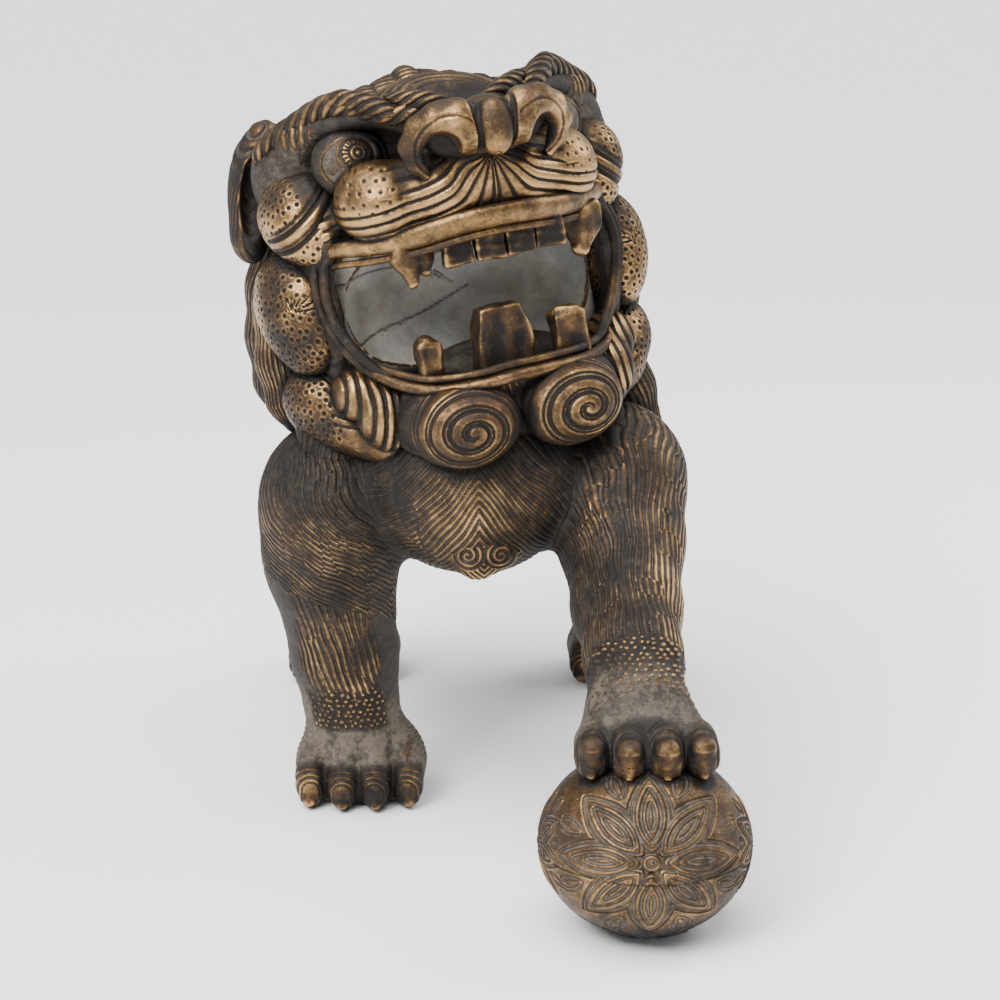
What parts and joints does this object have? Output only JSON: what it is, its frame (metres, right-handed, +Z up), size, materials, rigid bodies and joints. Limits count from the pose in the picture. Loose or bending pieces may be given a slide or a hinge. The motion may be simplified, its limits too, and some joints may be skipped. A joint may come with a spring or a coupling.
{
  "type": "foo dog statue",
  "caption": "Standing cast-bronze guardian lion with turned, roaring head, one forepaw on a brocade ball, chased fur, curled mane and raised tail.",
  "frame": {"origin": "middle of the bounding box's footprint, on the surface the statue stands on", "axes": "+Z up, -Y the way the lion faces, +X the lion's own left, which is the viewer's right from the front"},
  "size_m": [0.2023, 0.3672, 0.3077],
  "materials": {
    "dark_bronze": "cast and chased, dark grey-brown patina in the grooves, rubbed brass on the ridges",
    "gold_bronze": "cast and chased, rubbed to golden bronze with dark grooves and casting pits",
    "mouth_bronze": "smooth unpolished casting skin, pale warm grey"
  },
  "bodies": {
    "root": {"torso_shell": "dark_bronze", "front_right_leg": "dark_bronze", "front_left_leg": "dark_bronze", "hind_right_leg": "dark_bronze", "hind_left_leg": "dark_bronze", "brocade_ball": "gold_bronze", "ball_pin": "gold_bronze", "tail_plume": "dark_bronze", "tail_curl_right": "dark_bronze", "tail_curl_left": "dark_bronze", "chest_tuft": "gold_bronze", "skull_shell": "dark_bronze", "lower_jaw": "dark_bronze", "mouth_liner": "mouth_bronze", "nose": "gold_bronze", "upper_incisors": "dark_bronze", "lower_incisor": "gold_bronze", "upper_fang_right": "gold_bronze", "upper_fang_left": "gold_bronze", "lower_fang_right": "gold_bronze", "lower_fang_left": "gold_bronze", "eye_right": "dark_bronze", "eye_left": "dark_bronze", "brow_right": "gold_bronze", "brow_left": "gold_bronze", "ear_right": "dark_bronze", "ear_left": "dark_bronze", "chin_curl_right": "gold_bronze", "chin_curl_left": "gold_bronze", "cheek_curl_right_1": "gold_bronze", "cheek_curl_right_2": "gold_bronze", "cheek_curl_right_3": "gold_bronze", "cheek_curl_right_4": "gold_bronze", "cheek_curl_left_1": "gold_bronze", "cheek_curl_left_2": "gold_bronze", "cheek_curl_left_3": "gold_bronze", "cheek_curl_left_4": "gold_bronze", "mane_lock_right_1": "dark_bronze", "mane_lock_right_2": "dark_bronze", "mane_lock_right_3": "dark_bronze", "mane_lock_right_4": "dark_bronze", "mane_lock_left_1": "dark_bronze", "mane_lock_left_2": "dark_bronze", "mane_lock_left_3": "dark_bronze", "mane_lock_left_4": "dark_bronze", "mane_lock_back": "dark_bronze", "crown_curls": "dark_bronze"}
  },
  "joints": []
}
